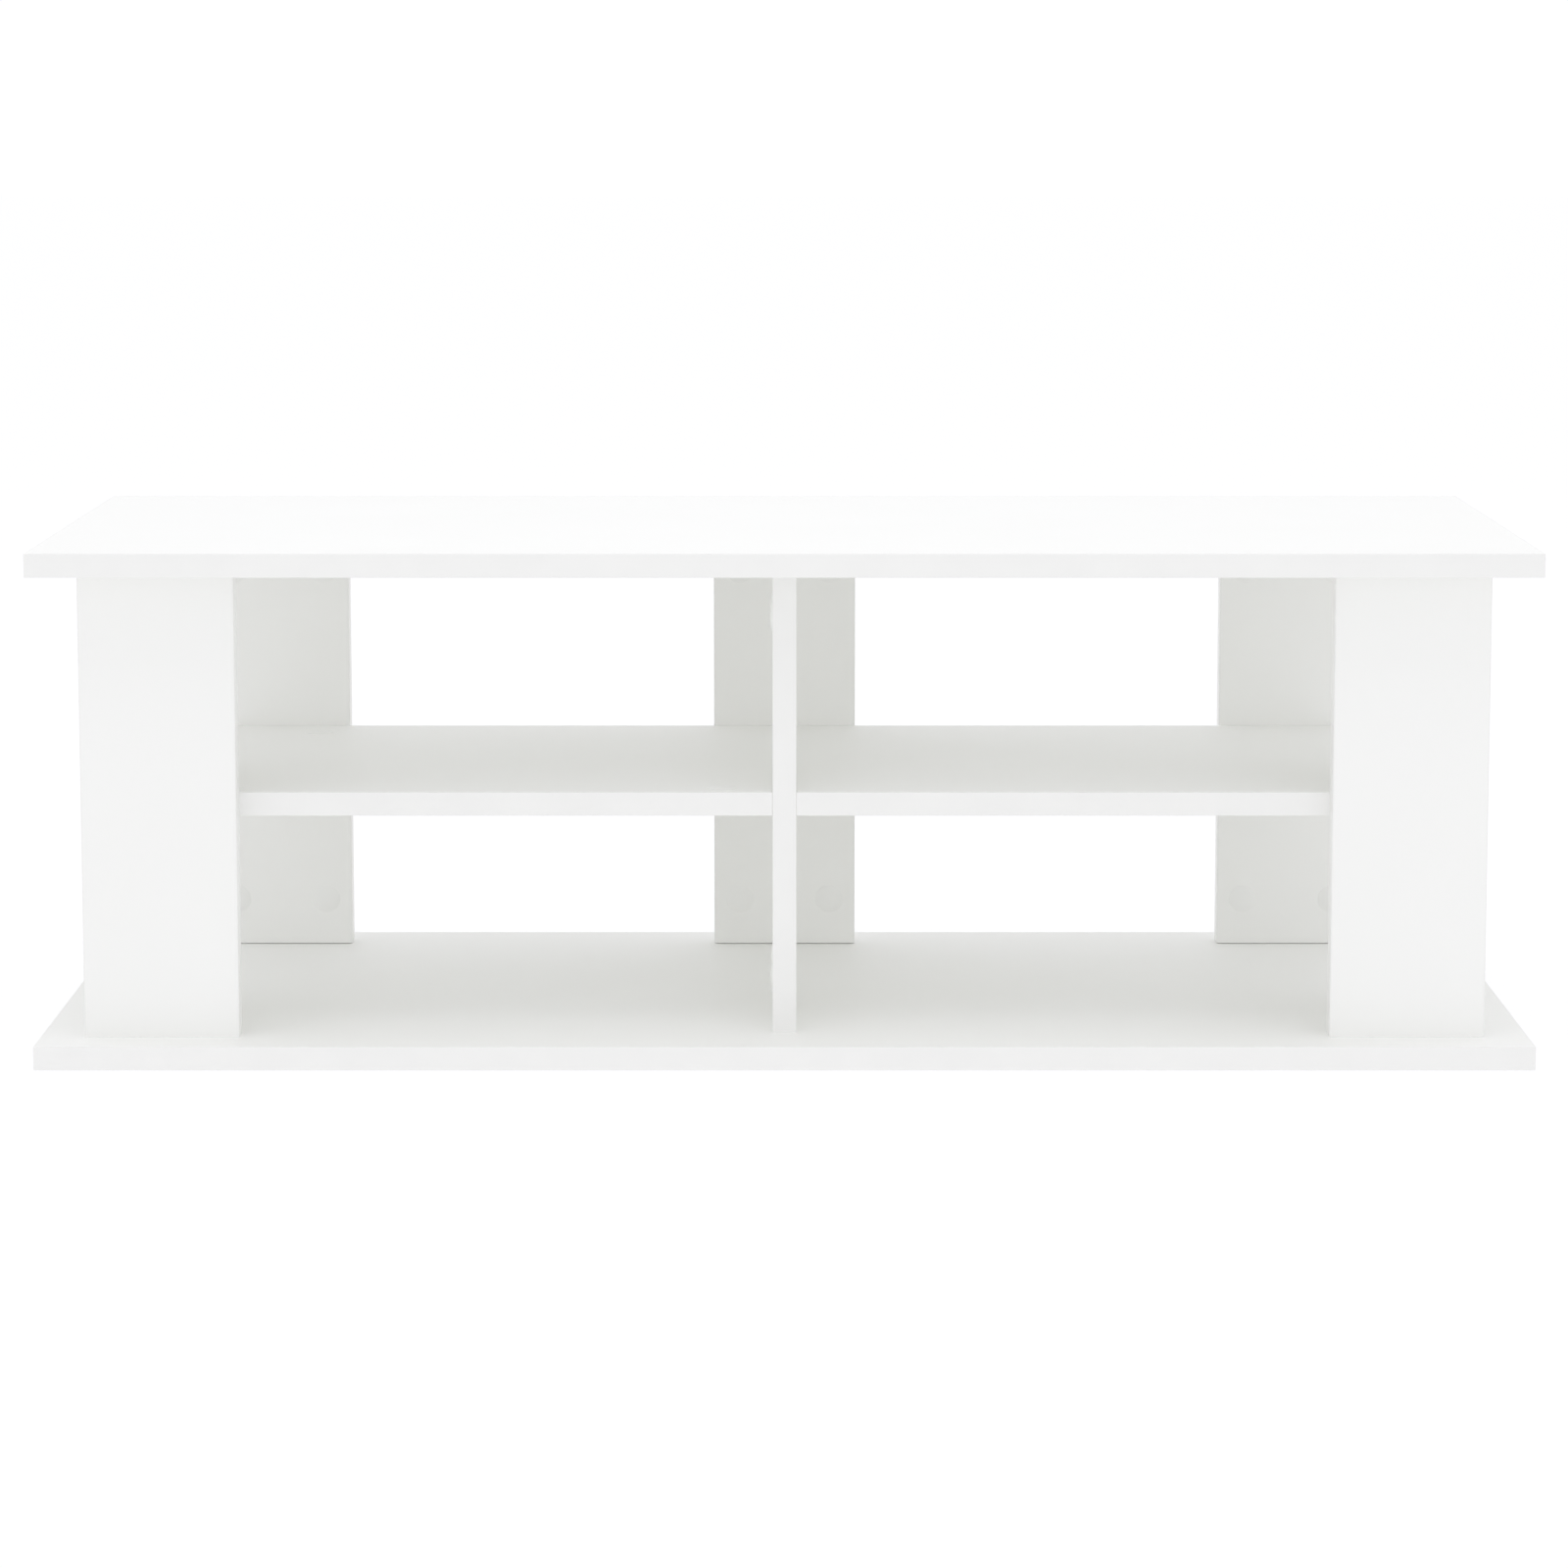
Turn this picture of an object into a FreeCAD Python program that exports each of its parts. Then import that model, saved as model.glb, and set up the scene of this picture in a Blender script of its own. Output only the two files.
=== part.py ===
import FreeCAD, Part
import math
import os
from FreeCAD import Matrix, Placement, Vector

# Open aquarium stand of edge-banded board, in millimetres. The origin is the middle of the
# underside, the front faces -Y and left is -X. Two full-size boards lie flat, and eight narrow
# uprights of one width stand between them and carry two half-length shelves.

# Driving dimensions
length = 1000.0
depth = 400.0
height = 346.0
board = 16.0                 # thickness of every board
setback = 30.0               # uprights stand this far in from the long edges and the panels from the ends
leg_setback = 75.0           # outer face of the legs and outer edge of the end rear uprights, from the ends
upright_width = 104.0
lower_opening = 148.0        # clear height under the shelves
rear_floor_gap = 0.4         # the rear uprights hang this far clear of the bottom board

edging = 1.0                 # thickness of the glued strips on the edges that show
arris = 0.5                  # radius on the trimmed edges of the strips
corner_radius = 0.8          # on the corners where two strips meet
strip_gap = 0.05             # hairline between two strips at a corner

fixing_inset = 19.0          # fittings stand this far in from the edges beside them
cam_reach = 34.0             # from the joint to the middle of the cam lock

cam_diameter = 15.0
cam_height = 12.2
cam_pocket = 12.6            # depth of the blind hole for a cam lock
cam_cavity_diameter = 10.0
cam_drive_length = 9.0
cam_drive_width = 1.6
cam_drive_depth = 2.4
cam_turn = 180.0             # degrees from loose to locked

bolt_shank_diameter = 6.9
bolt_neck_diameter = 3.6
bolt_head_diameter = 6.4
bolt_head_seat = 3.8         # head's shoulder, from the middle of the cam lock
bolt_head_length = 3.0
bolt_neck_end = 8.6          # neck's far end, from the middle of the cam lock
bolt_thread_diameter = 5.0
bolt_root_diameter = 3.8
bolt_thread_length = 11.0
bolt_thread_pitch = 1.8
bolt_drive_width = 0.9
bolt_drive_depth = 1.5
bolt_play = 0.3              # round the head and neck inside the cam lock

dowel_diameter = 8.0
dowel_length = 30.0
long_dowel_length = 60.0
dowel_in_face = 8.5          # length of a dowel that sits in the face of a board
dowel_chamfer = 1.0
dowel_flutes = 18
dowel_flute_depth = 0.35
drill_point = 0.8            # every blind hole is this much deeper than what it holds

cover_diameter = 20.0
cover_thickness = 1.6
cover_side = 0.3             # height of a cover's straight side, under its dome
cover_rings = 3              # flat rings that the dome is made of

fit = 0.05                   # radial clearance of pins, threads and cam locks in their holes

# Derived places
half_length = length / 2
half_depth = depth / 2
underside_of_top = height - board
shelf_bottom = board + lower_opening
shelf_middle = shelf_bottom + board / 2
shelf_top = shelf_bottom + board
panel_outer = half_length - setback
panel_middle = panel_outer - upright_width / 2
panel_front = -half_depth + setback
leg_outer = half_length - leg_setback
leg_middle = leg_outer - board / 2
leg_inner = leg_outer - board
leg_front = panel_front + board
leg_rear = leg_front + upright_width
leg_centre = leg_front + upright_width / 2
rear_back = half_depth - setback
rear_front = rear_back - board
rear_middle = rear_back - board / 2
rear_end_middle = leg_outer - upright_width / 2
rear_end_inner = leg_outer - upright_width

along_x = Vector(1, 0, 0)
along_y = Vector(0, 1, 0)
up = Vector(0, 0, 1)

cuts = {}                    # board name: list of holes to cut from it
fittings = {}                # node name: list of identical solids


def add(group, key, shape):
    group.setdefault(key, []).append(shape)


def box_between(low, high):
    size = high - low
    return Part.makeBox(size.x, size.y, size.z, low)


def turned(outline):
    # a pin turned about the X axis from (x, radius) points, first and last on the axis
    points = [Vector(x, radius, 0) for x, radius in outline]
    return Part.Face(Part.makePolygon(points + points[:1])).revolve(Vector(), along_x, 360)


def rod(start, end, radius, level=0.0):
    # a plain cylinder along X
    return Part.makeCylinder(radius, end - start, Vector(start, 0, level), along_x)


def frame_at(origin, x_axis, z_axis):
    y_axis = z_axis.cross(x_axis)
    return Placement(Matrix(x_axis.x, y_axis.x, z_axis.x, origin.x,
                            x_axis.y, y_axis.y, z_axis.y, origin.y,
                            x_axis.z, y_axis.z, z_axis.z, origin.z,
                            0, 0, 0, 1))


def placed(shape, placement):
    copy = shape.copy()
    copy.Placement = placement.multiply(shape.Placement)
    return copy


# Fittings, each in the frame of a cam lock: the origin is on the board's face over the middle of
# the lock, +Z points out of the face and +X runs to the joint

bolt_level = -board / 2


def cam_lock():
    body = Part.makeCylinder(cam_diameter / 2, cam_height, Vector(0, 0, -cam_pocket))
    cavity_height = bolt_head_diameter + 2 * bolt_play
    cavity = Part.makeCylinder(cam_cavity_diameter / 2, cavity_height,
                               Vector(0, 0, bolt_level - cavity_height / 2))
    slot_height = bolt_neck_diameter + 2 * bolt_play
    past_neck = math.degrees(math.asin(slot_height / cam_cavity_diameter))
    slot = Part.makeCylinder(cam_diameter, slot_height, Vector(0, 0, bolt_level - slot_height / 2),
                             up, cam_turn + 2 * past_neck)
    slot.rotate(Vector(), up, -past_neck)
    entry = rod(-cam_diameter, 0, cavity_height / 2, bolt_level)
    face = cam_height - cam_pocket
    drives = []
    for turn in (0, 90):
        drive = Part.makeBox(cam_drive_length, cam_drive_width, cam_drive_depth,
                             Vector(-cam_drive_length / 2, -cam_drive_width / 2, face - cam_drive_depth))
        drive.rotate(Vector(), up, 45 + turn)
        drives.append(drive)
    return body.cut([cavity, slot, entry] + drives)


def bolt_outline():
    # head, neck and the start of the shank, from inside the cam lock outwards
    head_start = bolt_head_seat - bolt_head_length
    head = [(head_start, 0), (head_start, bolt_head_diameter / 2), (bolt_head_seat, bolt_head_diameter / 2)]
    neck = [(bolt_head_seat, bolt_neck_diameter / 2), (bolt_neck_end, bolt_neck_diameter / 2)]
    return head + neck + [(bolt_neck_end, bolt_shank_diameter / 2)]


def thread_outline():
    # ridges from the joint to the bolt's tip
    root = bolt_root_diameter / 2
    crest = bolt_thread_diameter / 2
    ridges = int(bolt_thread_length / bolt_thread_pitch)
    points = [(cam_reach, root)]
    for ridge in range(ridges):
        start = cam_reach + ridge * bolt_thread_pitch
        points.append((start + bolt_thread_pitch / 2, crest))
        points.append((start + bolt_thread_pitch, root))
    return points + [(cam_reach + bolt_thread_length, 0)]


def cam_bolt():
    screw = turned(bolt_outline() + [(cam_reach, bolt_shank_diameter / 2)] + thread_outline())
    head_start = bolt_head_seat - bolt_head_length
    across = bolt_neck_diameter / 2
    upright_bar = Part.makeBox(bolt_drive_depth, bolt_drive_width, 2 * across,
                               Vector(head_start, -bolt_drive_width / 2, -across))
    level_bar = Part.makeBox(bolt_drive_depth, 2 * across, bolt_drive_width,
                             Vector(head_start, -across, -bolt_drive_width / 2))
    screw = screw.cut([upright_bar, level_bar])
    screw.translate(Vector(0, 0, bolt_level))
    return screw


def double_bolt():
    # both ends alike, with the middle of the upright between them as the origin
    to_middle = cam_reach + board / 2
    half = turned(bolt_outline() + [(to_middle, bolt_shank_diameter / 2), (to_middle, 0)])
    half.translate(Vector(-to_middle, 0, 0))
    return half.fuse(half.mirror(Vector(), along_x)).removeSplitter()


def dowel(whole_length):
    # along X from the origin: a fluted rod inside a chamfered blank
    radius = dowel_diameter / 2
    ring = []
    for step in range(2 * dowel_flutes):
        angle = math.pi * step / dowel_flutes
        reach = radius - dowel_flute_depth * (step % 2)
        ring.append(Vector(0, reach * math.cos(angle), reach * math.sin(angle)))
    fluted = Part.Face(Part.makePolygon(ring + ring[:1])).extrude(along_x * whole_length)
    tip = radius - dowel_chamfer
    blank = turned([(0, 0), (0, tip), (dowel_chamfer, radius), (whole_length - dowel_chamfer, radius),
                    (whole_length, tip), (whole_length, 0)])
    return fluted.common(blank)


def cam_cover():
    # a low dome in flat rings, on a thin round side
    radius = cover_diameter / 2
    outline = [(0, 0), (0, radius)]
    inmost = 1 / (cover_rings + 1)
    for ring in range(cover_rings + 1):
        share = 1 - ring * inmost
        climb = (1 - share ** 2) / (1 - inmost ** 2)
        outline.append((cover_side + (cover_thickness - cover_side) * climb, radius * share))
    dome = turned(outline + [(cover_thickness, 0)])
    dome.rotate(Vector(), along_y, -90)
    return dome


def cam_seat():
    # blind hole for the lock and the bore for the bolt's shank, out through the board's edge
    pocket = Part.makeCylinder(cam_diameter / 2 + fit, cam_pocket, Vector(0, 0, -cam_pocket))
    bore = rod(0, cam_reach, bolt_shank_diameter / 2 + fit, bolt_level)
    return pocket.fuse(bore)


def bolt_pilot():
    return rod(cam_reach, cam_reach + bolt_thread_length + drill_point,
               bolt_thread_diameter / 2 + fit, bolt_level)


lock = cam_lock()
bolt = cam_bolt()
cover = cam_cover()
seat = cam_seat()
pilot = bolt_pilot()
short_dowel = dowel(dowel_length)


def fit_lock(stage, holder, point, face, towards):
    # a cam lock in the holder's face, under its cover
    place = frame_at(point, towards, face)
    add(cuts, holder, placed(seat, place))
    add(fittings, stage + "_cam_locks", placed(lock, place))
    add(fittings, stage + "_cam_covers", placed(cover, place))
    return place


def fit_cam(stage, holder, mate, point, face, towards):
    # a cam lock in the holder that pulls on a bolt screwed into the mate's face
    place = fit_lock(stage, holder, point, face, towards)
    add(cuts, mate, placed(pilot, place))
    add(fittings, stage + "_cam_bolts", placed(bolt, place))


def fit_dowel(stage, holder, mate, joint, towards):
    # a dowel from the holder's edge into the mate's face, which the joint point lies on
    side = up if abs(towards.z) < 0.5 else along_x
    start = joint - towards * (dowel_length - dowel_in_face)
    place = frame_at(start, towards, side)
    hole = rod(-drill_point, dowel_length + drill_point, dowel_diameter / 2 + fit)
    add(cuts, holder, placed(hole, place))
    add(cuts, mate, placed(hole, place))
    add(fittings, stage + "_dowels", placed(short_dowel, place))


# Boards. A banded side is named by its outward normal.

boards = {}                  # board name: (low corner, high corner, banded sides)

left_side = -along_x
right_side = along_x
front_side = -along_y
rear_side = along_y
lower_end = -up


def define_board(name, low, high, banded):
    boards[name] = (low, high, banded)


def define_upright(name, x, y, across, face, banded, floor_gap=0.0):
    # an upright centred at x, y. Its cam locks are in the side that looks along face.
    foot = Vector(x, y, board + floor_gap)
    head = Vector(x, y, underside_of_top)
    reach = across * (upright_width / 2) + Vector(abs(face.x), abs(face.y), 0) * (board / 2)
    define_board(name, foot - reach, head + reach, banded)
    joints = (("top_joint", "top_board", underside_of_top, up),
              ("bottom_joint", "bottom_board", board, -up))
    for stage, mate, level, towards in joints:
        joint = Vector(x, y, level)
        fit_dowel(stage, name, mate, joint, towards)
        for side in (-1, 1):
            sideways = across * (side * (upright_width / 2 - fixing_inset))
            point = joint + sideways + face * (board / 2) - towards * cam_reach
            fit_cam(stage, name, mate, point, face, towards)


def define_flat_boards():
    sides = (front_side, rear_side, left_side, right_side)
    corner = Vector(half_length, half_depth, 0)
    define_board("bottom_board", -corner, corner + up * board, sides)
    define_board("top_board", up * underside_of_top - corner, up * height + corner, sides)


def define_front_corner(side, sign):
    # a front panel and the leg square behind it, joined along the leg's front edge
    panel = "front_panel_" + side
    leg = "front_leg_" + side
    inward = along_x * -sign
    define_upright(panel, sign * panel_middle, panel_front + board / 2, along_x, rear_side,
                   (left_side, right_side))
    define_upright(leg, sign * leg_middle, leg_centre, along_y, inward, (rear_side,))
    for opening_middle in ((board + shelf_bottom) / 2, (shelf_top + underside_of_top) / 2):
        cam_point = Vector(sign * leg_inner, leg_front + cam_reach, opening_middle)
        fit_cam("front_panel", leg, panel, cam_point, inward, front_side)
        joint = Vector(sign * leg_middle, leg_front, (opening_middle + shelf_middle) / 2)
        fit_dowel("front_panel", leg, panel, joint, front_side)


def define_rear_uprights():
    banded = (left_side, right_side, lower_end)
    for side, x in (("left", -rear_end_middle), ("centre", 0.0), ("right", rear_end_middle)):
        define_upright("rear_upright_" + side, x, rear_middle, along_x, front_side, banded, rear_floor_gap)


def define_shelf(side, sign):
    # both shelves are one board: the right one is turned over, so its cam locks face down
    name = "shelf_" + side
    leg = "front_leg_" + side
    rear_upright = "rear_upright_" + side
    outward = along_x * sign
    face = up * -sign
    face_level = shelf_middle - sign * board / 2
    ends = sorted((sign * board / 2, sign * leg_inner))
    define_board(name, Vector(ends[0], leg_front, shelf_bottom), Vector(ends[1], rear_front, shelf_top),
                 (front_side, rear_side, left_side, right_side))
    cam_row = leg_front + fixing_inset
    dowel_row = leg_rear - fixing_inset
    fit_cam("shelf", name, leg, Vector(sign * (leg_inner - cam_reach), cam_row, face_level), face, outward)
    fit_lock("shelf", name, Vector(sign * (board / 2 + cam_reach), cam_row, face_level), face, -outward)
    fit_dowel("shelf", name, leg, Vector(sign * leg_inner, dowel_row, shelf_middle), outward)
    rear_cam = Vector(sign * (rear_end_inner + fixing_inset), rear_front - cam_reach, face_level)
    fit_cam("shelf", name, rear_upright, rear_cam, face, rear_side)
    for mate, x in ((rear_upright, leg_inner - fixing_inset),
                    ("rear_upright_centre", upright_width / 2 - fixing_inset)):
        fit_dowel("shelf", name, mate, Vector(sign * x, rear_front, shelf_middle), rear_side)


def join_shelves():
    # one bolt and one dowel pass through the centre upright and hold both shelves
    cam_row = Vector(0, leg_front + fixing_inset, shelf_middle)
    add(cuts, "centre_front_upright", rod_through(cam_row, bolt_shank_diameter, board))
    add(fittings, "shelf_double_bolt", placed(double_bolt(), frame_at(cam_row, along_x, up)))
    dowel_row = Vector(0, leg_rear - fixing_inset, shelf_middle)
    dowel_start = dowel_row - along_x * (long_dowel_length / 2)
    long_dowel = placed(dowel(long_dowel_length), frame_at(dowel_start, along_x, up))
    add(fittings, "shelf_long_dowel", long_dowel)
    for name in ("shelf_left", "centre_front_upright", "shelf_right"):
        add(cuts, name, rod_through(dowel_row, dowel_diameter, long_dowel_length + 2 * drill_point))


def rod_through(middle, diameter, whole_length):
    hole = rod(-whole_length / 2, whole_length / 2, diameter / 2 + fit)
    hole.translate(middle)
    return hole


def lies_on(edge, side, low, high):
    # whether an edge of the board lies in the side that looks along the normal
    level = high.dot(side) if side.dot(Vector(1, 1, 1)) > 0 else low.dot(side)
    return all(math.isclose(vertex.Point.dot(side), level, abs_tol=1e-6) for vertex in edge.Vertexes)


def eased_blank(low, high, banded):
    # the board before drilling: rounded corners where strips meet, eased banded edges, sharp plain ends
    blank = box_between(low, high)
    through, *across = sorted((along_x, along_y, up), key=(high - low).dot)
    plain = [axis * sign for axis in across for sign in (-1, 1)
             if all((axis * sign - side).Length > 0.5 for side in banded)]
    corners = [edge for edge in blank.Edges if sum(lies_on(edge, side, low, high) for side in banded) == 2]
    if corners:
        blank = blank.makeFillet(corner_radius, corners)
    eased = [edge for edge in blank.Edges
             if any(lies_on(edge, face, low, high) for face in (-through, through))
             and not any(lies_on(edge, side, low, high) for side in plain)]
    return blank.makeFillet(arris, eased)


def edge_slab(low, high, side, thickness):
    # the outermost part of a board's box on one side
    slab = box_between(low, high)
    across_board = Vector(*[abs(part) for part in side]).dot(high - low)
    slab.translate(side * (across_board - thickness))
    return slab


def split_edging(solid, low, high, banded):
    # strips are cut off in turn: the first run the full length, the next end just short of them
    core = solid
    strips = []
    ends = []
    for side in banded:
        slab = edge_slab(low, high, side, edging)
        strip = core.common(slab)
        strips.append(strip.cut(ends) if ends else strip)
        core = core.cut(slab)
        ends.append(edge_slab(low, high, side, edging + strip_gap))
    return core, strips


def export(name, solids):
    whole = solids[0] if len(solids) == 1 else Part.makeCompound(solids)
    whole.exportStep("parts/" + name + ".step")
    print(name, len(whole.Solids), "solids", round(whole.Volume / 1000, 2), "cm3")


def main():
    os.makedirs("parts", exist_ok=True)
    define_flat_boards()
    for side, sign in (("left", -1), ("right", 1)):
        define_front_corner(side, sign)
        define_shelf(side, sign)
    define_upright("centre_front_upright", 0.0, leg_centre, along_y, left_side, (front_side, rear_side))
    define_rear_uprights()
    join_shelves()
    for name, (low, high, banded) in boards.items():
        drilled = eased_blank(low, high, banded).cut(cuts[name])
        core, strips = split_edging(drilled, low, high, banded)
        export(name, core.Solids)
        export(name + "_edging", [solid for strip in strips for solid in strip.Solids])
    for name, solids in fittings.items():
        export(name, solids)


main()
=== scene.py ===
import math

import bpy
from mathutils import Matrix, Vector


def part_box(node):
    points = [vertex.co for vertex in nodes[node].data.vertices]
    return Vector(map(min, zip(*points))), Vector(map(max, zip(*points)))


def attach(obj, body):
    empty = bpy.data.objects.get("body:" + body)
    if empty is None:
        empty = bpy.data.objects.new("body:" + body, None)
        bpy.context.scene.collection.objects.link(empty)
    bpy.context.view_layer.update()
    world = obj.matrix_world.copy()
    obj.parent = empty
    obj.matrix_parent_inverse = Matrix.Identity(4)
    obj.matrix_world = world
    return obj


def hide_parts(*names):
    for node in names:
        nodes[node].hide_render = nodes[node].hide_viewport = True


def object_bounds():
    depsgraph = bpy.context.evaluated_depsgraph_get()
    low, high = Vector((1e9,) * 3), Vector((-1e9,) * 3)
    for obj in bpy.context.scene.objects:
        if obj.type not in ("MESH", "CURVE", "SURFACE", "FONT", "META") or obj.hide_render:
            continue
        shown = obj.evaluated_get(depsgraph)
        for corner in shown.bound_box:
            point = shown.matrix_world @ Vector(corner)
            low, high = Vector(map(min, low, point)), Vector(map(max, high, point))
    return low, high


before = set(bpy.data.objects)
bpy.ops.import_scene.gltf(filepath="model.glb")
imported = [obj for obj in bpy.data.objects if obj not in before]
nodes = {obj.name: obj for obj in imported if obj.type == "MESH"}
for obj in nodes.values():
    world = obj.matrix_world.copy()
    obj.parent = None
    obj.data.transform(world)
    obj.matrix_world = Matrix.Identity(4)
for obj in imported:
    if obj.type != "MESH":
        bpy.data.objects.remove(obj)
cadLow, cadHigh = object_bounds()
mm = 0.001
print("frame loaded:", len(nodes), "nodes")


# Helpers for node trees

mixSockets = {
    # a Mix node's two inputs and its output, for each kind of data
    "FLOAT": (2, 3, 0),
    "VECTOR": (4, 5, 1),
    "RGBA": (6, 7, 2),
}


def addNode(tree, kind, inputs=None, **settings):
    # an input is given another node's output or a plain value
    node = tree.nodes.new(kind)
    for key, value in settings.items():
        setattr(node, key, value)
    for key, value in (inputs or {}).items():
        if isinstance(value, bpy.types.NodeSocket):
            tree.links.new(value, node.inputs[key])
        else:
            node.inputs[key].default_value = value
    return node


def calculate(tree, operation, first, second=0.0):
    return addNode(tree, "ShaderNodeMath", {0: first, 1: second}, operation=operation).outputs[0]


def along(axis, value, others=1.0):
    # a number for each axis, one of them different
    return [value if i == axis else others for i in range(3)]


def thinAxis(size):
    # a board's thickness is its shortest side
    return min(range(3), key=lambda i: size[i])


def newMaterial(name, color, roughness, metallic=0.0):
    material = bpy.data.materials.new(name)
    material.use_nodes = True
    tree = material.node_tree
    shader = tree.nodes["Principled BSDF"]
    shader.inputs["Base Color"].default_value = (*color, 1)
    shader.inputs["Roughness"].default_value = roughness
    shader.inputs["Metallic"].default_value = metallic
    return material, tree, shader


def objectPlace(tree, centre=(0, 0, 0), stretch=(1, 1, 1)):
    # Object coordinates from a centre, scaled along each axis
    place = addNode(tree, "ShaderNodeTexCoord").outputs["Object"]
    moved = addNode(tree, "ShaderNodeVectorMath", {0: place, 1: centre}, operation="SUBTRACT")
    scaled = addNode(tree, "ShaderNodeVectorMath", {0: moved.outputs[0], 1: stretch}, operation="MULTIPLY")
    return scaled.outputs[0]


def noise(tree, place, scale, detail=2.0):
    inputs = {"Vector": place, "Scale": scale, "Detail": detail}
    return addNode(tree, "ShaderNodeTexNoise", inputs).outputs["Fac"]


def spread(tree, factor, low, high, fromLow=0.35, fromHigh=0.65):
    # a number from low to high over the middle of a noise
    inputs = {"Value": factor, "From Min": fromLow, "From Max": fromHigh, "To Min": low, "To Max": high}
    return addNode(tree, "ShaderNodeMapRange", inputs).outputs[0]


def mix(tree, kind, factor, first, second):
    # the first where the factor is 0, the second where it is 1
    firstInput, secondInput, output = mixSockets[kind]
    inputs = {0: factor, firstInput: first, secondInput: second}
    return addNode(tree, "ShaderNodeMix", inputs, data_type=kind).outputs[output]


def mixColors(tree, factor, first, second):
    # a plain color is given its alpha here
    colors = [item if isinstance(item, bpy.types.NodeSocket) else (*item, 1) for item in (first, second)]
    return mix(tree, "RGBA", factor, *colors)


def finishSurface(tree, shader, color, roughness, height, depth):
    # depth is how tall the bumps are where height is 1
    normal = addNode(tree, "ShaderNodeBump", {"Height": height, "Distance": depth}).outputs["Normal"]
    for name, socket in (("Base Color", color), ("Roughness", roughness), ("Normal", normal)):
        tree.links.new(socket, shader.inputs[name])


# Boards: a chipboard core between two white melamine films, seen in the drilled holes

board = {
    "faceColor": (0.909, 0.911, 0.892),
    "faceShade": (0.904, 0.906, 0.886),
    "faceRoughness": (0.52, 0.62),
    "film": 0.3 * mm,
    "cloudScale": 9,
    "pearlScale": 1100,
    "pearlHeight": 0.02 * mm,
    "chipLight": (0.62, 0.47, 0.29),
    "chipDark": (0.30, 0.19, 0.10),
    "chipScale": 420,
    "chipFlatness": 2.6,
    "chipHeight": 0.35 * mm,
    "fibreScale": 2600,
    "coreRoughness": 0.9,
}


def boardMaterial(name):
    low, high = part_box(name)
    centre, size = (low + high) / 2, high - low
    axis = thinAxis(size)
    material, tree, shader = newMaterial(name, board["faceColor"], board["coreRoughness"])
    place = objectPlace(tree, centre)
    depth = calculate(tree, "ABSOLUTE", addNode(tree, "ShaderNodeSeparateXYZ", {0: place}).outputs[axis])
    onFilm = calculate(tree, "GREATER_THAN", depth, size[axis] / 2 - board["film"])

    cloud = noise(tree, place, board["cloudScale"], detail=3)
    pearl = noise(tree, place, board["pearlScale"])
    filmColor = mixColors(tree, spread(tree, cloud, 0, 1), board["faceColor"], board["faceShade"])
    filmRoughness = spread(tree, pearl, *board["faceRoughness"])

    flat = objectPlace(tree, centre, along(axis, board["chipFlatness"]))
    chips = addNode(tree, "ShaderNodeTexVoronoi", {"Vector": flat, "Scale": board["chipScale"]})
    shade = addNode(tree, "ShaderNodeSeparateColor", {0: chips.outputs["Color"]}).outputs[0]
    tone = calculate(tree, "MULTIPLY", shade, noise(tree, flat, board["fibreScale"], detail=3))
    coreColor = mixColors(tree, tone, board["chipLight"], board["chipDark"])
    chipRise = board["chipHeight"] / board["pearlHeight"]      # as the film and the core share one bump
    coreHeight = calculate(tree, "MULTIPLY", chips.outputs["Distance"], chipRise)

    finishSurface(tree, shader,
                  mixColors(tree, onFilm, coreColor, filmColor),
                  mix(tree, "FLOAT", onFilm, board["coreRoughness"], filmRoughness),
                  mix(tree, "FLOAT", onFilm, coreHeight, pearl), board["pearlHeight"])
    return material


# Edging: plastic strips with fine lines drawn along them

edging = {
    "color": (0.881, 0.881, 0.863),
    "shade": (0.867, 0.867, 0.850),
    "roughness": (0.42, 0.54),
    "cloudScale": 30,
    "lineScale": 900,
    "lineStretch": 0.02,
    "lineHeight": 0.012 * mm,
}


def edgingMaterial(axis):
    # the axis runs across the strips, through the board's thickness
    material, tree, shader = newMaterial("edging_" + "xyz"[axis], edging["color"], edging["roughness"][0])
    drawn = objectPlace(tree, stretch=along(axis, 1.0, edging["lineStretch"]))
    lines = noise(tree, drawn, edging["lineScale"], detail=3)
    cloud = noise(tree, objectPlace(tree), edging["cloudScale"])
    finishSurface(tree, shader,
                  mixColors(tree, spread(tree, cloud, 0, 1), edging["color"], edging["shade"]),
                  spread(tree, lines, *edging["roughness"]),
                  lines, edging["lineHeight"])
    return material


# Metal fittings: cast zinc cam locks and plated steel bolts

camZinc = {
    "name": "cam_zinc",
    "color": (0.60, 0.61, 0.63),
    "shade": (0.46, 0.47, 0.49),
    "roughness": (0.34, 0.50),
    "grainScale": 1800,
    "patchScale": 220,
    "grainHeight": 0.02 * mm,
}
platedSteel = {
    "name": "plated_steel",
    "color": (0.76, 0.75, 0.72),
    "shade": (0.66, 0.64, 0.58),
    "roughness": (0.18, 0.32),
    "grainScale": 700,
    "patchScale": 90,
    "grainHeight": 0.006 * mm,
}


def metalMaterial(metal):
    material, tree, shader = newMaterial(metal["name"], metal["color"], metal["roughness"][0], metallic=1.0)
    place = objectPlace(tree)
    grain = noise(tree, place, metal["grainScale"], detail=4)
    finishSurface(tree, shader,
                  mixColors(tree, noise(tree, place, metal["patchScale"]), metal["color"], metal["shade"]),
                  spread(tree, grain, *metal["roughness"]),
                  grain, metal["grainHeight"])
    return material


# Beech dowels, with the grain along them

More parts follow.
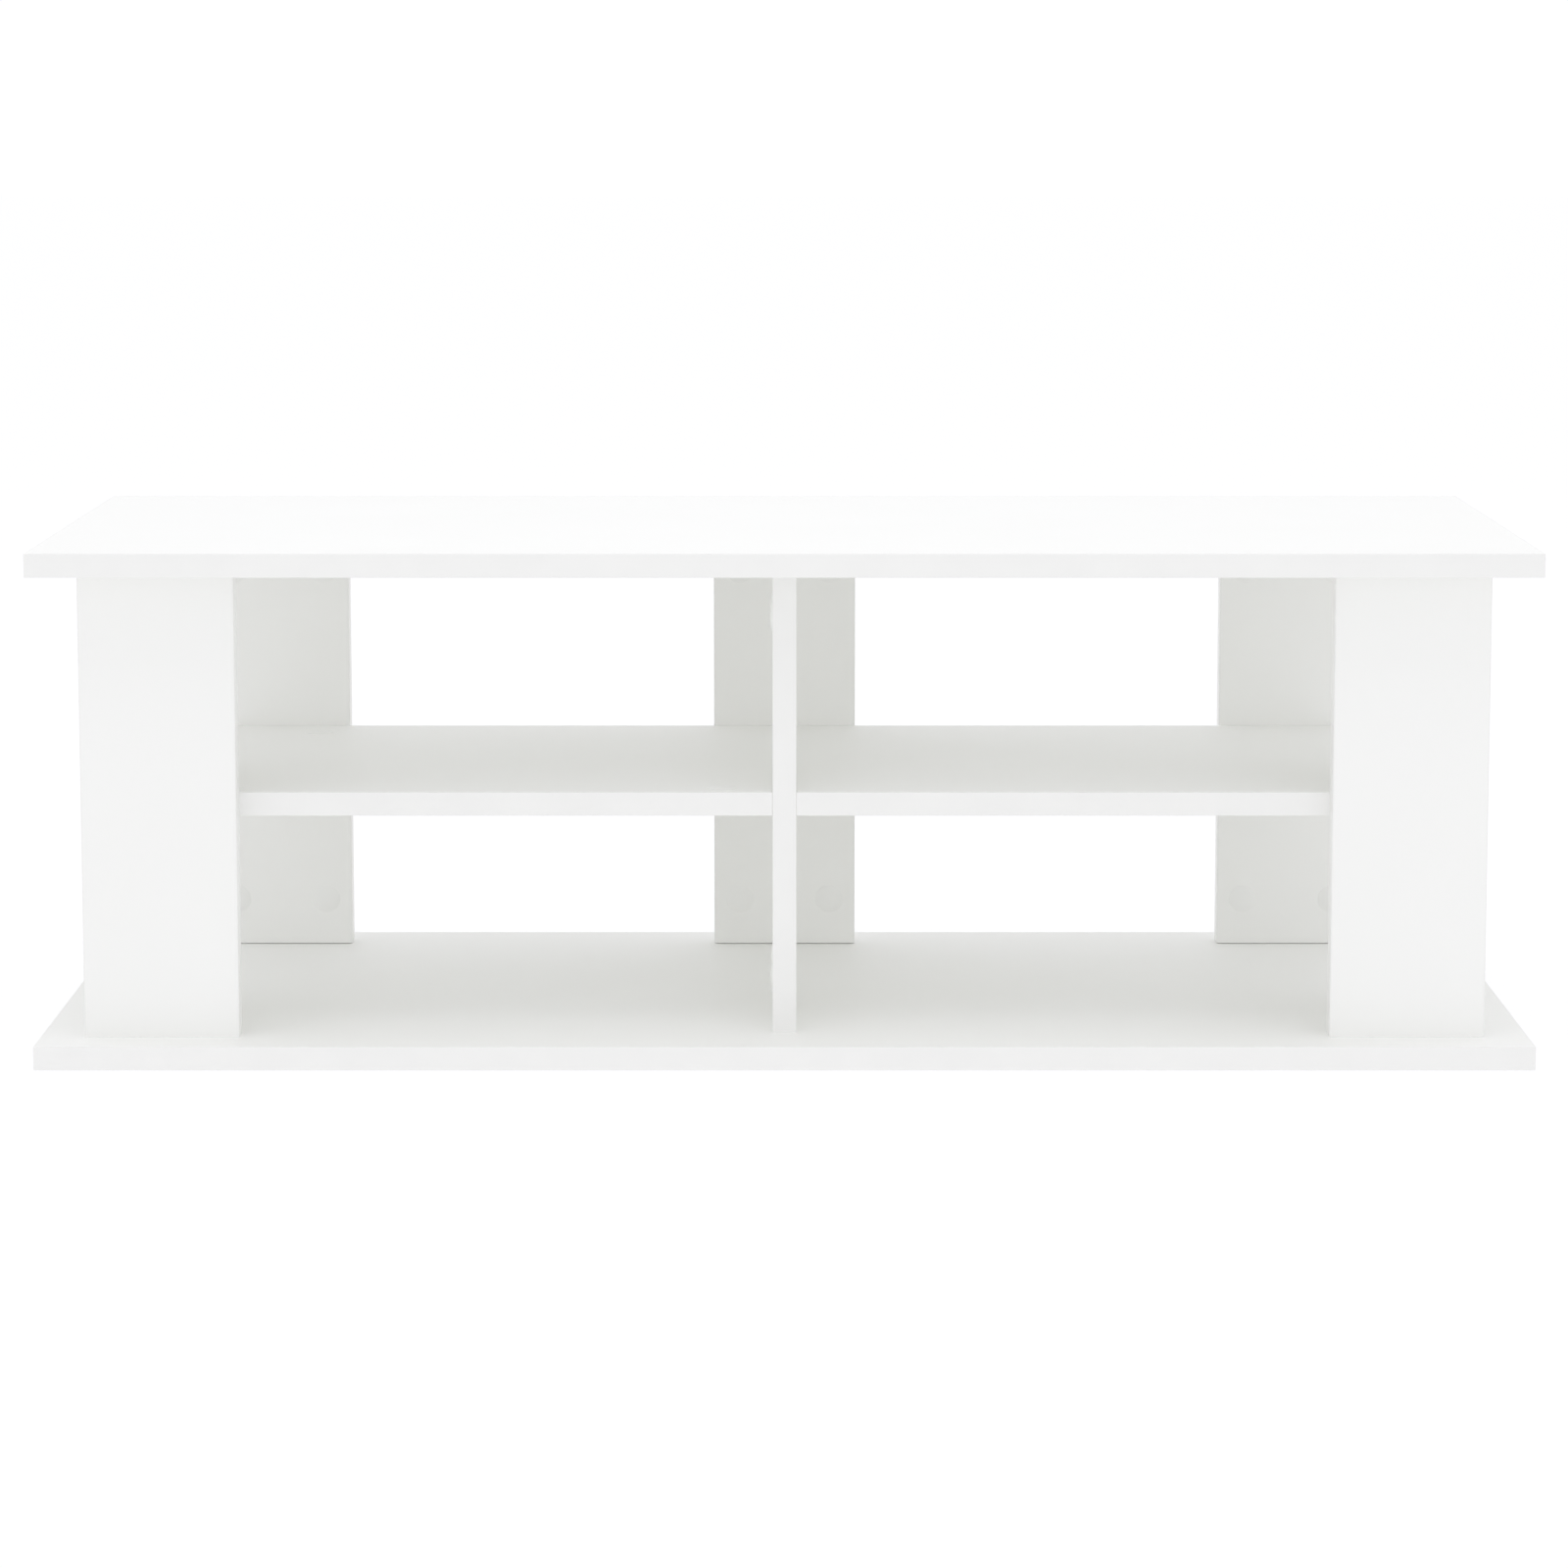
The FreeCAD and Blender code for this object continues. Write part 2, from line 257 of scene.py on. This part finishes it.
beech = {
    "light": (0.72, 0.52, 0.34),
    "dark": (0.55, 0.36, 0.21),
    "roughness": (0.55, 0.75),
    "grainScale": 900,
    "grainStretch": 0.06,
    "fleckScale": 1400,
    "grainHeight": 0.05 * mm,
}
dowelAxes = {
    # the axis they lie along: those in front of the node's middle, then those behind it
    "top_joint_dowels": (2, 2),
    "bottom_joint_dowels": (2, 2),
    "front_panel_dowels": (1, 1),
    "shelf_dowels": (0, 1),
    "shelf_long_dowel": (0, 0),
}


def beechMaterial(name):
    low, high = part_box(name)
    material, tree, shader = newMaterial(name, beech["light"], beech["roughness"][0])
    front, rear = [objectPlace(tree, stretch=along(axis, beech["grainStretch"])) for axis in dowelAxes[name]]
    depth = addNode(tree, "ShaderNodeSeparateXYZ", {0: objectPlace(tree)}).outputs["Y"]
    behind = calculate(tree, "GREATER_THAN", depth, (low.y + high.y) / 2)
    place = mix(tree, "VECTOR", behind, front, rear)
    grain = noise(tree, place, beech["grainScale"], detail=4)
    fleck = noise(tree, place, beech["fleckScale"])
    tone = calculate(tree, "MULTIPLY", calculate(tree, "ADD", grain, fleck), 0.5)      # halfway between them
    finishSurface(tree, shader,
                  mixColors(tree, spread(tree, tone, 0, 1), beech["light"], beech["dark"]),
                  spread(tree, grain, *beech["roughness"]),
                  grain, beech["grainHeight"])
    return material


# Cam covers: round plastic caps, a little domed

cover = {
    "color": (0.893, 0.895, 0.877),
    "shade": (0.885, 0.887, 0.868),
    "roughness": (0.40, 0.50),
    "cloudScale": 60,
    "grainScale": 1500,
    "grainHeight": 0.008 * mm,
    "diameter": 20 * mm,
    "thickness": 1.6 * mm,
    "side": 0.3 * mm,            # height of the straight side, under the dome
    "rings": 10,                 # of the dome, from its edge to the middle
    "segments": 64,
    "seed": 7,                   # of how far each cover is turned in its seat
    "sameSpot": 0.001 * mm,      # points nearer than this are one point
}


def coverMaterial():
    material, tree, shader = newMaterial("cover_cap", cover["color"], cover["roughness"][0])
    place = objectPlace(tree)
    grain = noise(tree, place, cover["grainScale"])
    finishSurface(tree, shader,
                  mixColors(tree, noise(tree, place, cover["cloudScale"]), cover["color"], cover["shade"]),
                  spread(tree, grain, *cover["roughness"]),
                  grain, cover["grainHeight"])
    return material


def islands(mesh):
    # the points of each separate solid in a CAD node's loose triangles
    leader = {}

    def find(key):
        while leader[key] != key:
            key = leader[key]
        return key

    keys = [tuple(round(part / cover["sameSpot"]) for part in vertex.co) for vertex in mesh.vertices]
    for key in keys:
        leader[key] = key
    for triangle in mesh.polygons:
        first, *rest = [find(keys[index]) for index in triangle.vertices]
        for key in rest:
            leader[find(key)] = find(first)
    groups = {}
    for vertex, key in zip(mesh.vertices, keys):
        groups.setdefault(find(key), []).append(vertex.co)
    return [groups[key] for key in sorted(groups)]


def coverPlaces(name, boardBoxes):
    # the middle of each cover's back, and the way it faces, which is away from its board
    places = []
    for points in islands(nodes[name].data):
        low = Vector([min(point[i] for point in points) for i in range(3)])
        high = Vector([max(point[i] for point in points) for i in range(3)])
        middle, axis = (low + high) / 2, thinAxis(high - low)
        facing = Vector(along(axis, 1.0, 0.0))
        ahead = middle + facing * cover["thickness"]
        if any(all(a[i] < ahead[i] < b[i] for i in range(3)) for a, b in boardBoxes):
            facing = -facing
        places.append((middle - facing * (high - low)[axis] / 2, facing))
    return places


def coverShape(tree, given):
    # a disc is raised to the height of the side, then ring by ring to the top of the dome
    radius = calculate(tree, "MULTIPLY", given["Diameter"], 0.5)
    dome = calculate(tree, "SUBTRACT", given["Thickness"], given["Side"])
    circle = addNode(tree, "GeometryNodeMeshCircle", {"Vertices": given["Segments"], "Radius": radius},
                     fill_type="NGON").outputs["Mesh"]
    disc, top, reach, level = circle, True, 1.0, 0.0
    for ring in range(cover["rings"]):
        # reach is the ring's share of the radius, and level its share of the dome's height
        nextReach = 1 - ring / cover["rings"]
        nextLevel = 1 - nextReach ** 2
        rise = given["Side"] if ring == 0 else calculate(tree, "MULTIPLY", dome, nextLevel - level)
        raised = addNode(tree, "GeometryNodeExtrudeMesh", {
            "Mesh": disc, "Selection": top, "Offset": (0, 0, 1), "Offset Scale": rise, "Individual": False})
        top = raised.outputs["Top"]
        drawnIn = addNode(tree, "GeometryNodeScaleElements", {
            "Geometry": raised.outputs["Mesh"], "Selection": top, "Scale": nextReach / reach})
        disc, reach, level = drawnIn.outputs["Geometry"], nextReach, nextLevel
    back = addNode(tree, "GeometryNodeFlipFaces", {"Mesh": circle}).outputs["Mesh"]
    both = addNode(tree, "GeometryNodeJoinGeometry")
    tree.links.new(disc, both.inputs[0])
    tree.links.new(back, both.inputs[0])
    return addNode(tree, "GeometryNodeMergeByDistance", {
        "Geometry": both.outputs[0], "Distance": cover["sameSpot"]}).outputs["Geometry"]


def coverTree(plastic):
    # one cover on every point of the mesh it is given, turned by chance about the way it faces
    tree = bpy.data.node_groups.new("coversOnPoints", "GeometryNodeTree")
    sizes = {"Diameter": "Float", "Thickness": "Float", "Side": "Float", "Segments": "Int", "Seed": "Int"}
    tree.interface.new_socket("Points", in_out="INPUT", socket_type="NodeSocketGeometry")
    for label, kind in sizes.items():
        tree.interface.new_socket(label, in_out="INPUT", socket_type="NodeSocket" + kind)
    tree.interface.new_socket("Covers", in_out="OUTPUT", socket_type="NodeSocketGeometry")
    given = tree.nodes.new("NodeGroupInput").outputs

    facing = addNode(tree, "GeometryNodeInputNamedAttribute", {"Name": "facing"}, data_type="FLOAT_VECTOR")
    outwards = addNode(tree, "FunctionNodeAlignRotationToVector", {
        "Vector": facing.outputs["Attribute"]}, axis="Z")
    turn = addNode(tree, "FunctionNodeRandomValue", {
        0: (0, 0, 0), 1: (0, 0, math.tau), "Seed": given["Seed"]}, data_type="FLOAT_VECTOR")
    turned = addNode(tree, "FunctionNodeRotateRotation", {
        "Rotation": outwards.outputs[0], "Rotate By": turn.outputs[0]}, rotation_space="LOCAL")
    stuck = addNode(tree, "GeometryNodeInstanceOnPoints", {
        "Points": given["Points"], "Instance": coverShape(tree, given), "Rotation": turned.outputs[0]})
    real = addNode(tree, "GeometryNodeRealizeInstances", {"Geometry": stuck.outputs[0]})
    painted = addNode(tree, "GeometryNodeSetMaterial", {"Geometry": real.outputs[0], "Material": plastic})
    tree.links.new(painted.outputs[0], addNode(tree, "NodeGroupOutput").inputs["Covers"])
    return tree


def coverPoints(name, places):
    # one point for each cover, which keeps the way it faces
    points = bpy.data.meshes.new(name)
    points.from_pydata([place for place, facing in places], [], [])
    attribute = points.attributes.new("facing", "FLOAT_VECTOR", "POINT")
    attribute.data.foreach_set("vector", [part for place, facing in places for part in facing])
    return points


def growCovers(piece, tree):
    # the tree's result becomes the piece's plain mesh
    values = {"Diameter": cover["diameter"], "Thickness": cover["thickness"], "Side": cover["side"],
              "Segments": cover["segments"], "Seed": cover["seed"]}
    modifier = piece.modifiers.new("covers", "NODES")
    modifier.node_group = tree
    for socket in tree.interface.items_tree:
        if socket.name in values:
            modifier[socket.identifier] = values[socket.name]
    graph = bpy.context.evaluated_depsgraph_get()
    mesh = bpy.data.meshes.new_from_object(piece.evaluated_get(graph), depsgraph=graph)
    piece.modifiers.clear()
    piece.data = mesh


def placeCovers(plastic):
    boardBoxes = [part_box(name[:-len("_edging")]) for name in nodes if name.endswith("_edging")]
    tree = coverTree(plastic)
    total = 0
    for name in sorted(nodes):
        if not name.endswith("_cam_covers"):
            continue
        places = coverPlaces(name, boardBoxes)
        points = coverPoints(name + "_points", places)
        piece = bpy.data.objects.new(name.replace("cam_covers", "cover_cap"), points)
        bpy.context.scene.collection.objects.link(piece)
        growCovers(piece, tree)
        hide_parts(name)
        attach(piece, "root")
        total += len(places)
    print("cam covers placed:", total)


def dressNodes():
    edgings = [edgingMaterial(axis) for axis in range(3)]
    zinc, steel = metalMaterial(camZinc), metalMaterial(platedSteel)
    for name, node in nodes.items():
        if name.endswith("_edging"):
            low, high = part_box(name[:-len("_edging")])
            material = edgings[thinAxis(high - low)]
        elif name.endswith("_cam_locks"):
            material = zinc
        elif name.endswith("_cam_bolts") or name == "shelf_double_bolt":
            material = steel
        elif name in dowelAxes:
            material = beechMaterial(name)
        elif name.endswith("_cam_covers"):
            continue
        else:
            material = boardMaterial(name)
        node.data.materials.clear()
        node.data.materials.append(material)
    print("boards, edging and fittings dressed")


dressNodes()
placeCovers(coverMaterial())


# Studio: a white floor that glows, an even surround and large softboxes

studio = {
    "floorSize": 40.0,
    "floorColor": (0.25, 0.25, 0.25),
    "floorRoughness": 0.95,
    "floorGlow": 0.786,
    "surroundStrength": 0.912,
    "lightColor": (0.982, 0.982, 1.0),
    "horizonGlow": 1.14,         # how much brighter the surround is at the horizon
    "horizonBand": (0.12, 0.45),
    "bounces": 8,                # of light between the white boards
}
softboxes = {
    # name: (place, width, height, power)
    "overhead": ((0, -0.3, 2.4), 2.6, 1.8, 10.4),
    "left": ((-3.0, -1.0, 1.4), 2.0, 1.6, 1.0),
    "right": ((3.0, -1.0, 1.4), 2.0, 1.6, 1.0),
    "back": ((0, 3.0, 2.0), 3.0, 1.6, 1.4),
}


def buildFloor():
    half = studio["floorSize"] / 2
    corners = [(-half, -half, 0), (half, -half, 0), (half, half, 0), (-half, half, 0)]
    mesh = bpy.data.meshes.new("floor")
    mesh.from_pydata(corners, [], [(0, 1, 2, 3)])
    floor = bpy.data.objects.new("floor", mesh)
    bpy.context.scene.collection.objects.link(floor)
    material, tree, shader = newMaterial("floor_paper", studio["floorColor"], studio["floorRoughness"])
    shader.inputs["Specular IOR Level"].default_value = 0.0
    shader.inputs["Emission Color"].default_value = (*studio["lightColor"], 1)
    shader.inputs["Emission Strength"].default_value = studio["floorGlow"]
    mesh.materials.append(material)


def buildSurround():
    world = bpy.data.worlds.new("studio")
    world.use_nodes = True
    tree = world.node_tree
    direction = addNode(tree, "ShaderNodeTexCoord").outputs["Generated"]
    rise = calculate(tree, "ABSOLUTE", addNode(tree, "ShaderNodeSeparateXYZ", {0: direction}).outputs["Z"])
    glow = spread(tree, rise, studio["horizonGlow"], 1.0, *studio["horizonBand"])
    colored = addNode(tree, "ShaderNodeVectorMath", {0: glow, 1: studio["lightColor"]}, operation="MULTIPLY")
    background = tree.nodes["Background"]
    tree.links.new(colored.outputs[0], background.inputs["Color"])
    background.inputs["Strength"].default_value = studio["surroundStrength"]
    bpy.context.scene.world = world
    bpy.context.scene.cycles.diffuse_bounces = studio["bounces"]
    print("floor and surround made")


def hangSoftboxes():
    # each one faces the middle of the stand
    middle = (cadLow + cadHigh) / 2
    for name, (place, width, height, power) in softboxes.items():
        light = bpy.data.lights.new(name, "AREA")
        light.shape, light.color = "RECTANGLE", studio["lightColor"]
        light.size, light.size_y, light.energy = width, height, power
        holder = bpy.data.objects.new(name, light)
        holder.location = place
        holder.rotation_euler = (middle - Vector(place)).to_track_quat("-Z", "Y").to_euler()
        bpy.context.scene.collection.objects.link(holder)
    print("softboxes hung:", len(softboxes))


buildFloor()
buildSurround()
hangSoftboxes()


# Camera at the photograph's viewing angle

photoView = {
    "place": (0.0, -3.1331, 0.6637),
    "tiltDown": 6.719,           # degrees from level
    "lens": 103.17,
    "sensor": 36.0,
    "shift": (-0.0003, -0.12),
}


def setCamera():
    camera = bpy.data.cameras.new("camera")
    camera.lens, camera.sensor_width = photoView["lens"], photoView["sensor"]
    camera.shift_x, camera.shift_y = photoView["shift"]
    holder = bpy.data.objects.new("camera", camera)
    holder.location = photoView["place"]
    # a camera that isn't turned looks straight down
    holder.rotation_euler = (math.radians(90 - photoView["tiltDown"]), 0, 0)
    bpy.context.scene.collection.objects.link(holder)
    bpy.context.scene.camera = holder
    bpy.context.scene.view_settings.view_transform = "Standard"
    print("camera set")


setCamera()
